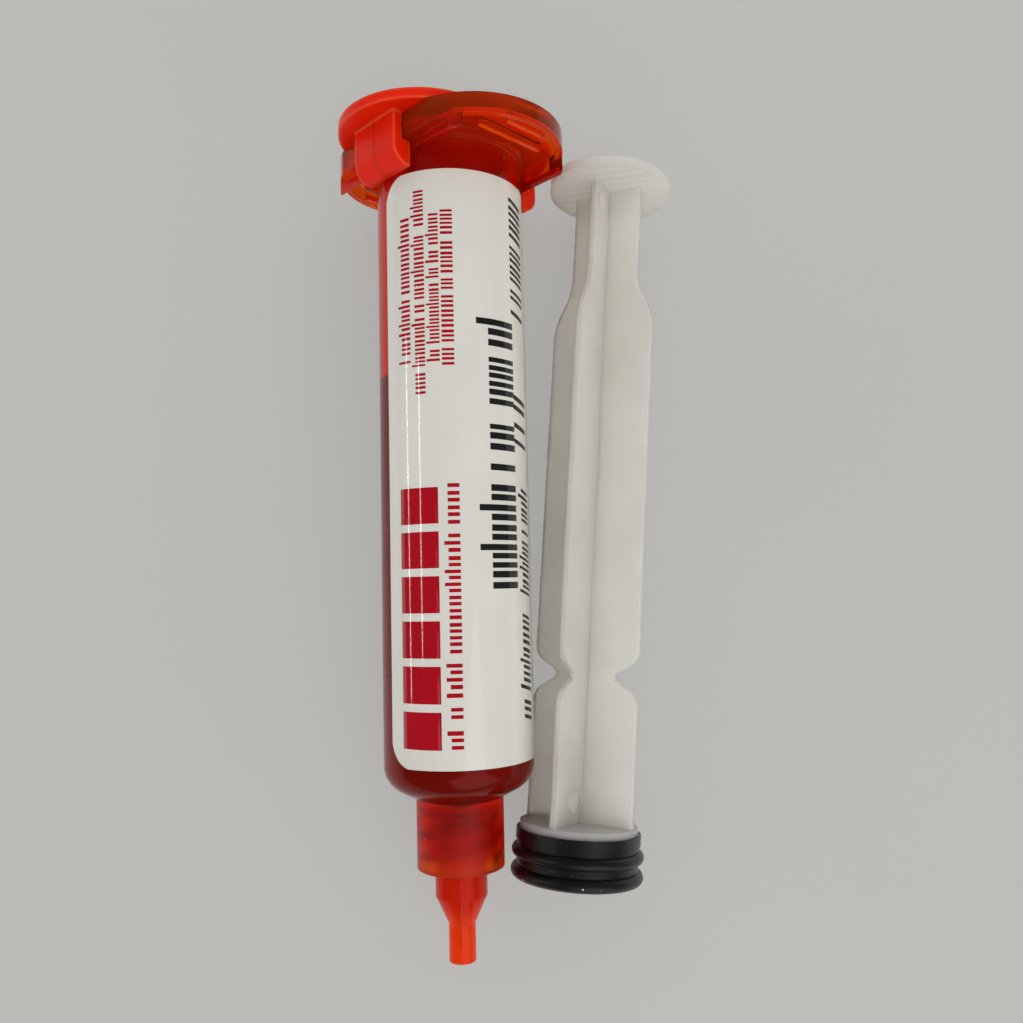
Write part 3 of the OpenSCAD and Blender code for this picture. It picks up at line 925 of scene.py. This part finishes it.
@dataclass(frozen=True)
class LabelPrint:
    """The printed bars that stand on the label.

    Attributes:
        label_r: Radius of the label's face.
        proud: Height of the ink over the face.
        sunk: Depth of the ink's underside in the film.
        corner: Radius of the bars' corners.
        rounding: Where a rounded corner's points lie along the bar, as shares of that radius.
        columns: Points across a bar's height.
        rows: The rows of bars.
    """

    label_r: float = 9.35
    proud: float = 0.015
    sunk: float = 0.02
    corner: float = 0.06
    rounding: tuple[float, ...] = (0.0, 0.3, 1.0)
    columns: int = 9
    rows: tuple[PrintRow, ...] = (
        PrintRow(Ink.CRIMSON, 118.5, 129.5, 60.5, 78.6, (7, 8), seed=3),
        PrintRow(Ink.CRIMSON, 106.5, 117.5, 56.6, 82.2, (9, 1, 8, 5), seed=4),
        PrintRow(Ink.CRIMSON, 95.5, 105.5, 60.4, 78.6, (10, 8), seed=5),
        PrintRow(Ink.CRIMSON, 85.0, 94.0, 59.9, 79.0, (2, 5, 9), low=1.0, seed=6),
        PrintRow(Ink.CRIMSON, 98.5, 129.5, 15.3, 46.4, (6,), 0.82, low=1.0, lone=1.0, vary=0.0, seed=7),
        PrintRow(Ink.CRIMSON, 83.0, 94.5, 15.4, 46.2, (3, 12, 3), low=0.75, seed=8),
        PrintRow(Ink.BLACK, 34.5, 68.5, 33.5, 67.4, (9, 3, 2), low=0.72, stroke=0.32, seed=9),
        PrintRow(Ink.BLACK, 17.0, 35.5, 66.4, 81.6, (2, 3, 3), low=1.0, slant=0.7, seed=10),
        PrintRow(Ink.BLACK, 16.0, 34.5, 50.4, 56.8, (3,), low=1.0, slant=0.7, seed=11),
        PrintRow(Ink.BLACK, 14.0, 31.5, 32.4, 45.4, (5, 4), slant=0.7, seed=12),
        PrintRow(Ink.BLACK, 16.0, 33.5, 17.6, 30.2, (8,), slant=0.7, seed=13),
    )

    def build(self, line: LyingLine) -> dict[Ink, bpy.types.Object]:
        """Builds one piece for each ink.

        Args:
            line: The barrel's axis.

        Returns:
            The piece of each ink.
        """
        pieces = {}
        for ink in Ink:
            blocks = np.concatenate([row.blocks() for row in self.rows if row.ink is ink])
            pieces[ink] = self._piece(ink, blocks, line)
        return pieces

    def _piece(self, ink: Ink, blocks: np.ndarray, line: LyingLine) -> bpy.types.Object:
        """Builds the bars of one ink as closed slabs.

        A bar is the grid start + u * (end - start) along the barrel and foot + v * (head - foot) round it.
        Near its ends the foot and the head close in by corner - sqrt(corner^2 - (corner - distance)^2), which
        rounds the corners. The same grid a little deeper closes it below.

        Args:
            ink: The ink.
            blocks: The bars' sizes, one row each.
            line: The barrel's axis.

        Returns:
            The piece.
        """
        start, stop, foot, head, lean = (blocks[:, i][:, None, None] for i in range(5))
        inward = np.array(self.rounding) * self.corner
        inset = self.corner - np.sqrt(self.corner**2 - (self.corner - inward) ** 2)
        inset = np.concatenate([inset, inset[::-1]])[None, :, None]
        offset = np.concatenate([inward, -inward[::-1]])[None, :, None]
        base = np.concatenate([np.repeat(start, len(inward), 1), np.repeat(stop, len(inward), 1)], axis=1)
        across = np.linspace(0.0, 1.0, self.columns)[None, None, :]
        trim = np.degrees(inset / self.label_r)
        angle = np.radians(foot + trim + across * (head - foot - 2 * trim))
        distance = base + offset + lean * across
        top = line.points(self.label_r + self.proud, angle, distance)
        under = line.points(self.label_r - self.sunk, angle, distance)
        count, rows, columns = angle.shape
        points = np.concatenate([top.reshape(count, -1, 3), under.reshape(count, -1, 3)], axis=1)
        face = quads(rows, columns)
        half = rows * columns
        rim = np.concatenate([
            np.arange(columns),
            np.arange(1, rows) * columns + columns - 1,
            (rows - 1) * columns + np.arange(columns - 2, -1, -1),
            np.arange(rows - 2, 0, -1) * columns,
        ])
        after = np.roll(rim, -1)
        side = np.stack([rim, after, after + half, rim + half], axis=1)
        one = np.concatenate([face, face[:, ::-1] + half, side])
        faces = (one[None] + (np.arange(count) * 2 * half)[:, None, None]).reshape(-1, 4)
        return solid_from(f"{ink.value.name}_print", points.reshape(-1, 3), [faces])


@dataclass(frozen=True)
class FluxFill:
    """The body of the paste, which wets the wall and ends in an uneven top.

    Attributes:
        radius: Radius of the bore.
        corner: Radius of the bore's corner at the shoulder.
        slope: Slope of the bore's floor, in degrees.
        bend: Distance along the barrel to the upper end of that corner.
        level: Distance along the barrel to the top of the paste at the wall.
        wet: Depth of the paste in the wall, which leaves no air between them.
        crown: Height of the top's middle over the level.
        swirl: Height of the swirls on the top.
        arms: Number of swirls round the axis.
        twist: Phase between the swirls on the axis and those at the wall, in radians.
        core: Radius of the flat middle of the floor and the top, as a share of the bore's.
        corner_rings: Rings of points in the corner.
        top_rings: Rings of points on the top.
        columns: Points round the axis.
    """

    radius: float = 7.95
    corner: float = 1.9
    slope: float = 28.0
    bend: float = 12.2964
    level: float = 60.3
    wet: float = 0.02
    crown: float = 0.5
    swirl: float = 0.6
    arms: int = 3
    twist: float = 7.0
    core: float = 0.03
    corner_rings: int = 9
    top_rings: int = 36
    columns: int = 96

    def build(self, line: LyingLine) -> bpy.types.Object:
        """Builds the paste.

        Below the level it is the bore's own profile turned about the axis. The top is the grid
        level + crown * (1 - share^2) + 4 * swirl * sin(arms * angle + twist * share) * share * (1 - share),
        where share goes from 1 at the wall to nearly 0 on the axis.

        Args:
            line: The barrel's axis.

        Returns:
            The piece.
        """
        angle = np.linspace(0.0, 2 * math.pi, self.columns, endpoint=False)[None, :]
        turn = np.radians(np.linspace(self.slope - 90.0, 0.0, self.corner_rings))[:, None]
        corner_r = self.radius - self.corner + (self.corner + self.wet) * np.cos(turn)
        corner_z = self.bend + (self.corner + self.wet) * np.sin(turn)
        middle_z = corner_z[0] - corner_r[0] * math.tan(math.radians(self.slope))
        share = np.linspace(1.0, self.core, self.top_rings)[:, None]
        waves = 4 * self.swirl * np.sin(self.arms * angle + self.twist * share) * share * (1 - share)
        top_z = self.level + self.crown * (1 - share**2) + waves
        radius = np.concatenate([[[self.core * self.radius]], corner_r, share * (self.radius + self.wet)])
        low_z = np.concatenate([middle_z[None], corner_z]) + 0 * angle
        return swept_ridge("flux_fill", line.points(radius, angle, np.concatenate([low_z, top_z])))


@dataclass(frozen=True)
class HookSeams:
    """The fine mould seam that runs down the middle of each hook of the end cap.

    Attributes:
        outer: Distance from the axis to a hook's outer face.
        top: Distance along the barrel to the underside of the cap's plate.
        bottom: Distance along the barrel to the hook's bottom.
        heel: Radius of the hook's heel.
        wrap: How far the seam runs round the heel.
        width: Width of the seam.
        proud: Height of the seam.
        face_angle: Angle of the first hook round the axis.
        heel_steps: Sections round the heel.
        columns: Points round a section.
    """

    outer: float = 11.92
    top: float = 90.5
    bottom: float = 84.18
    heel: float = 2.2
    wrap: float = math.radians(80.0)
    width: float = 0.14
    proud: float = 0.05
    face_angle: float = math.radians(136.0)
    heel_steps: int = 14
    columns: int = 8

    def build(self, line: LyingLine) -> list[bpy.types.Object]:
        """Builds the two seams.

        The path goes straight down the face, then round the heel: outer - heel * (1 - cos(turn)) from the
        axis and bottom + heel * (1 - sin(turn)) along it. Its section is an ellipse, half of it in the hook.

        Args:
            line: The barrel's axis.

        Returns:
            The two seams.
        """
        round_heel = np.linspace(0.0, self.wrap, self.heel_steps)
        turn = np.concatenate([[0.0, 0.0], round_heel])[:, None]
        reach = self.outer - self.heel * (1 - np.cos(turn))
        place = np.concatenate([[self.top, (self.top + self.bottom + self.heel) / 2],
                                self.bottom + self.heel * (1 - np.sin(round_heel))])[:, None]
        section = np.linspace(0.0, 2 * math.pi, self.columns, endpoint=False)
        lift = np.sin(section) * self.proud
        wide = np.cos(section) * self.width / 2
        radius = reach + np.cos(turn) * lift
        distance = place - np.sin(turn) * lift
        seams = []
        for number in range(2):
            angle = self.face_angle + math.pi * number
            out = np.array([math.cos(angle), math.sin(angle)])
            right = radius * out[0] - wide * out[1]
            above = radius * out[1] + wide * out[0]
            seams.append(swept_ridge(f"hook_seam_{number + 1}", line.placed(right, above, distance)))
        return seams


# The whole


@dataclass(frozen=True)
class Lamp:
    """A soft lamp that faces the middle of the set.

    Attributes:
        name: Name of the lamp.
        place: Where it hangs, in metres.
        size: Width and height of the lamp in metres.
        power: Power in watts.
    """

    name: str
    place: tuple[float, float, float]
    size: tuple[float, float]
    power: float

    def hang(self) -> None:
        """Puts the lamp in the scene."""
        light = bpy.data.lights.new(self.name, "AREA")
        light.shape = "RECTANGLE"
        light.size, light.size_y = self.size
        light.energy = self.power
        holder = bpy.data.objects.new(self.name, light)
        holder.location = self.place
        holder.rotation_euler = (-Vector(self.place)).to_track_quat("-Z", "Y").to_euler()
        bpy.context.scene.collection.objects.link(holder)


@dataclass(frozen=True)
class Studio:
    """Floor, light and camera.

    Attributes:
        floor: Colour of the floor and of the world behind it, as the camera sees them.
        cloud: Brightness of the floor's paler clouds against that colour.
        cloud_scale: Clouds of the floor per metre.
        paper: Colour of the floor for the light that it throws back.
        floor_size: Side of the floor in metres.
        azimuth: Turn of the camera from +Y, in degrees.
        elevation: Angle of the camera above the horizon, in degrees.
        roll: Roll of the camera, in degrees.
        stand: Place of the camera in millimetres, from the point of the barrel's axis at the collar's end.
        focal: Focal length in pixels of the photograph.
        lamps: The lamps.
        left: Strength of the room's light from the left.
        right: Strength of the room's light from the right.
        mirrored: Colour that a glossy surface shows of the room.
        lift: Share of the floor's even colour in what the camera sees; the rest is the floor as it is lit.
    """

    floor: Colour = (0.5, 0.495, 0.478, 1.0)
    cloud: float = 1.06
    cloud_scale: float = 9.0
    paper: Colour = (0.68, 0.672, 0.65, 1.0)
    floor_size: float = 6.0
    azimuth: float = -0.4966
    elevation: float = 80.9103
    roll: float = -0.8199
    stand: tuple[float, float, float] = (6.983, 25.088, 115.561)
    focal: float = 900.0
    lamps: tuple[Lamp, ...] = (
        Lamp("window", (0.45, -0.8, 0.85), (1.3, 1.3), 4.2),
        Lamp("tube_low", (-0.85, 0.05, 0.32), (0.4, 0.012), 0.3),
        Lamp("tube_high", (-0.85, 0.05, 0.74), (0.4, 0.014), 0.4),
    )
    left: float = 0.66
    right: float = 0.93
    mirrored: Colour = (0.1, 0.1, 0.1, 1.0)
    lift: float = 0.65

    def build(self, barrel: LyingLine) -> None:
        """Puts floor, lamps, world and camera in the scene.

        Args:
            barrel: The barrel's axis.
        """
        self._floor()
        self._world()
        for lamp in self.lamps:
            lamp.hang()
        self._camera(barrel)
        bpy.context.scene.view_settings.view_transform = "Standard"

    def _floor(self) -> None:
        """Makes the pale floor.

        The camera sees it partly as it is lit and partly in an even colour, and wholly even through clear
        plastic.
        """
        half = self.floor_size / 2
        mesh = bpy.data.meshes.new("floor")
        corners = [(-half, -half, 0), (half, -half, 0), (half, half, 0), (-half, half, 0)]
        mesh.from_pydata(corners, [], [(0, 1, 2, 3)])
        floor = bpy.data.objects.new("floor", mesh)
        bpy.context.scene.collection.objects.link(floor)
        material = bpy.data.materials.new("floor")
        material.use_nodes = True
        w = Wiring(material.node_tree)
        where = w.add("ShaderNodeTexCoord").outputs["Object"]
        clouds = w.add("ShaderNodeTexNoise", Vector=where, Scale=self.cloud_scale, Detail=1.0)
        colour = w.blend(clouds.outputs[0], self.floor, scaled(self.floor, self.cloud))
        path = w.add("ShaderNodeLightPath").outputs
        thrown = w.blend(path["Is Camera Ray"], self.paper, colour)
        lit = w.add("ShaderNodeBsdfPrincipled", Roughness=0.6, Base_Color=thrown)
        even = w.add("ShaderNodeEmission", Color=colour, Strength=1.0)
        straight = w.times(path["Is Camera Ray"], self.lift)
        seen = w.math("MAXIMUM", straight, path["Is Transmission Ray"])
        surface = self._either(w, seen, lit.outputs[0], even.outputs[0])
        w.add("ShaderNodeOutputMaterial", Surface=surface)
        mesh.materials.append(material)

    def _world(self) -> None:
        """Makes the light of the room, with the floor's colour behind the object and a dim room in its gloss.

        A ray that leaves clear plastic counts as glossy too, and gets the light of the room.
        """
        world = bpy.data.worlds.new("room")
        world.use_nodes = True
        w = Wiring(world.node_tree)
        way = w.add("ShaderNodeTexCoord").outputs["Generated"]
        across = w.add("ShaderNodeSeparateXYZ", Vector=way).outputs["X"]
        strength = w.span(across, -1.0, 1.0, self.left, self.right)
        surface = w.add("ShaderNodeBackground", Color=(1.0, 1.0, 1.0, 1.0), Strength=strength).outputs[0]
        path = w.add("ShaderNodeLightPath").outputs
        gloss = w.times(path["Is Glossy Ray"], w.math("SUBTRACT", 1.0, path["Is Transmission Ray"]))
        for share, colour in ((gloss, self.mirrored), (path["Is Camera Ray"], self.floor)):
            backdrop = w.add("ShaderNodeBackground", Color=colour, Strength=1.0)
            surface = self._either(w, share, surface, backdrop.outputs[0])
        w.add("ShaderNodeOutputWorld", Surface=surface)
        bpy.context.scene.world = world

    @staticmethod
    def _either(w: Wiring, share: Socket, a: Socket, b: Socket) -> Socket:
        """A shader from a to b as the share goes from 0 to 1.

        Args:
            w: The tree.
            share: Value from 0 to 1.
            a: Shader at 0.
            b: Shader at 1.

        Returns:
            The mixed shader's socket.
        """
        mix = w.add("ShaderNodeMixShader", Fac=share)
        w.feed(mix.inputs[1], a)
        w.feed(mix.inputs[2], b)
        return mix.outputs[0]

    def _camera(self, barrel: LyingLine) -> None:
        """Makes the camera at the photograph's place.

        Args:
            barrel: The barrel's axis.
        """
        az, el, roll = (math.radians(v) for v in (self.azimuth, self.elevation, self.roll))
        forward = Vector((-math.sin(az) * math.cos(el), math.cos(az) * math.cos(el), -math.sin(el)))
        level = Vector((math.cos(az), math.sin(az), 0.0))
        right = math.cos(roll) * level + math.sin(roll) * level.cross(forward)
        data = bpy.data.cameras.new("camera")
        data.sensor_width = SENSOR_WIDTH
        data.lens = SENSOR_WIDTH * self.focal / PHOTO_WIDTH
        data.clip_start = 0.005
        data.clip_end = 20.0
        camera = bpy.data.objects.new("camera", data)
        turn = Matrix((right, right.cross(forward), -forward)).transposed().to_4x4()
        place = Vector(barrel.origin * MM) + Vector(self.stand) * MM
        camera.matrix_world = Matrix.Translation(place) @ turn
        bpy.context.scene.collection.objects.link(camera)
        bpy.context.scene.camera = camera


@dataclass
class FluxSyringe:
    """The dressed syringe and its plunger.

    Attributes:
        shelf: The shared node groups.
        plunger_len: Distance from the stopper's face to the thumb rest's face, in millimetres.
        nozzle_proud: Distance from the collar's end to the nozzle's tip, in millimetres.
    """

    frame: dict
    shelf: GroupShelf = field(default_factory=GroupShelf)
    plunger_len: float = 91.204
    nozzle_proud: float = 1.0

    def _line_to(self, mount: str, distance: float, way: float) -> LyingLine:
        """The axis that a mount lies on.

        Args:
            mount: Name of the mount.
            distance: The mount's distance along the axis, in millimetres.
            way: 1 where the mount's direction is the axis's, -1 where it is the other way.

        Returns:
            The axis.
        """
        entry = next(m for m in self.frame["record"]["mounts"] if m["name"] == mount)
        along = np.array(entry["axis"], float) * way
        along /= np.linalg.norm(along)
        return LyingLine(np.array(entry["pos_m"], float) / MM - along * distance, along)

    def dress(self) -> LyingLine:
        """Gives each node its material, and makes and places the new pieces.

        Returns:
            The barrel's axis.
        """
        barrel = self._line_to("luer_outlet", -self.nozzle_proud, -1.0)
        plunger = self._line_to("thumb_face", self.plunger_len, 1.0)
        finishes = {
            "barrel": (AMBER, barrel),
            "label": (LabelFilm(), barrel),
            "end_cap": (ORANGE, barrel),
            "tip_cap": (CLEAR_ORANGE, barrel),
            "flux_charge": (FluxPaste(), barrel),
            "plunger_rod": (NATURAL, plunger),
            "stopper": (Rubber(), plunger),
        }
        looks = {node: finish.material(self.shelf, line) for node, (finish, line) in finishes.items()}
        for node, material in looks.items():
            self._finish_node(node, material)
        paste = FluxFill().build(barrel)
        self._place(paste, "barrel", looks["flux_charge"])
        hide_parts("flux_charge")
        for piece in LuerThread().build(barrel):
            self._place(piece, "barrel", looks["barrel"])
        for ink, piece in LabelPrint().build(barrel).items():
            self._place(piece, "barrel", ink.value.material(self.shelf, barrel))
        for piece in HookSeams().build(barrel):
            self._place(piece, "end_cap", looks["end_cap"])
        return barrel

    def _finish_node(self, node: str, material: bpy.types.Material) -> None:
        """Gives a carried-over node its material.

        Args:
            node: Name of the node.
            material: Its material.
        """
        solid = self.frame["nodes"][node]
        if not solid.data.materials:
            solid.data.materials.append(material)
        for slot in solid.material_slots:
            slot.material = material
        LOG.info("node %s finished as %s", node, material.name)

    def _place(self, piece: bpy.types.Object, body: str, material: bpy.types.Material) -> None:
        """Gives a new piece its material and body.

        Args:
            piece: The piece.
            body: The body that it rides on.
            material: Its material.
        """
        piece.data.materials.append(material)
        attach(piece, body)
        LOG.info("piece %s rides on %s", piece.name, body)


def main() -> None:
    """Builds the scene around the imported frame."""
    logging.basicConfig(level=logging.INFO, format="%(name)s: %(message)s")
    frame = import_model()
    barrel = FluxSyringe(frame).dress()
    Studio().build(barrel)


if __name__ == "__main__":
    main()
